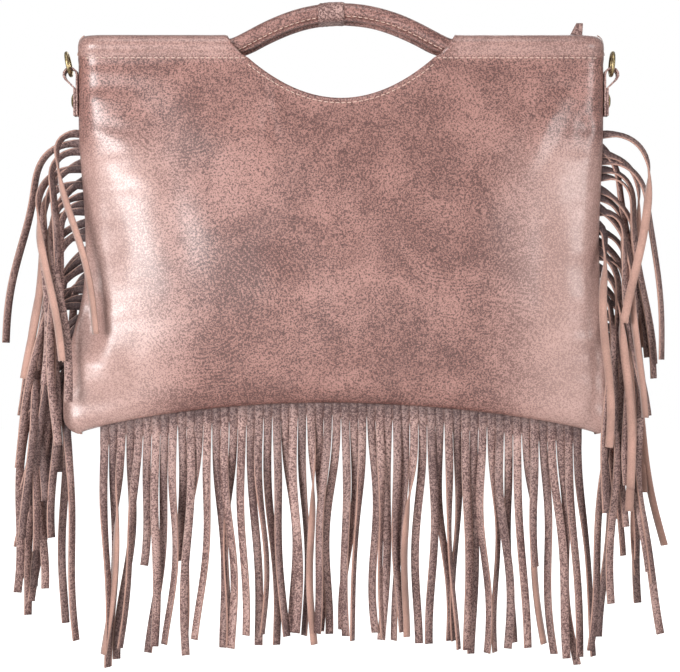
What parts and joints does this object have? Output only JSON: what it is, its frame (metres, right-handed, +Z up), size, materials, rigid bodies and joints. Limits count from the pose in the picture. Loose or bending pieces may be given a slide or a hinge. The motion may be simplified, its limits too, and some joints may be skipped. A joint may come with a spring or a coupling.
{
  "type": "fringed suede bag",
  "caption": "Flat suede bag with cut-out padded handles, an arched bottom seam and long fringe along its sides and bottom.",
  "frame": {"origin": "under the middle of the two handles, where a hand or a hook carries the bag", "axes": "+X to the right seen from the front, +Y from front to back, +Z up"},
  "size_m": [0.489, 0.0612, 0.4833],
  "materials": {
    "distressed_leather": "distressed suede-like leather with a waxy sheen",
    "fringe_suede": "distressed leather cut into strips, bare flesh side behind",
    "cotton_cord": "twisted cotton cord",
    "lining_cloth": "plain woven cotton",
    "zip_tape_cloth": "woven zip tape",
    "antique_brass": "aged brass, rubbed on its edges"
  },
  "bodies": {
    "bag": {"front_panel": "distressed_leather", "back_panel": "distressed_leather", "lining": "lining_cloth", "front_handle_core": "cotton_cord", "front_handle_cover": "distressed_leather", "back_handle_core": "cotton_cord", "back_handle_cover": "distressed_leather", "handle_keeper": "distressed_leather", "bottom_fringe": "fringe_suede", "left_fringe": "fringe_suede", "right_fringe": "fringe_suede", "left_ring_tab": "distressed_leather", "right_ring_tab": "distressed_leather", "left_rivet": "antique_brass", "right_rivet": "antique_brass", "left_rivet_burr": "antique_brass", "right_rivet_burr": "antique_brass", "front_zip_gusset": "distressed_leather", "back_zip_gusset": "distressed_leather", "front_zip_tape": "zip_tape_cloth", "back_zip_tape": "zip_tape_cloth", "front_zip_teeth": "antique_brass", "back_zip_teeth": "antique_brass", "front_zip_top_stop": "antique_brass", "back_zip_top_stop": "antique_brass", "zip_bottom_stop": "antique_brass", "zip_tail": "zip_tape_cloth", "zip_end_tab": "distressed_leather"},
    "left_ring": {"left_ring": "antique_brass"},
    "right_ring": {"right_ring": "antique_brass"},
    "zip_slider": {"zip_slider": "antique_brass"},
    "zip_pull": {"zip_pull": "antique_brass"}
  },
  "joints": [
    {"name": "left_ring_swing", "type": "hinge", "parent": "bag", "child": "left_ring", "pos_m": [-0.19789, 0, -0.037], "axis": [0, 1, 0], "range_deg": [-150, 18]},
    {"name": "right_ring_swing", "type": "hinge", "parent": "bag", "child": "right_ring", "pos_m": [0.19789, 0, -0.037], "axis": [0, 1, 0], "range_deg": [-11, 157]},
    {"name": "zip_slide", "type": "slide", "parent": "bag", "child": "zip_slider", "axis": [1, 0, 0], "range_m": [-0.31, 0]},
    {"name": "zip_pull_hinge", "type": "hinge", "parent": "zip_slider", "child": "zip_pull", "pos_m": [0.155, 0, -0.0608], "axis": [0, 1, 0], "range_deg": [0, 110]}
  ]
}
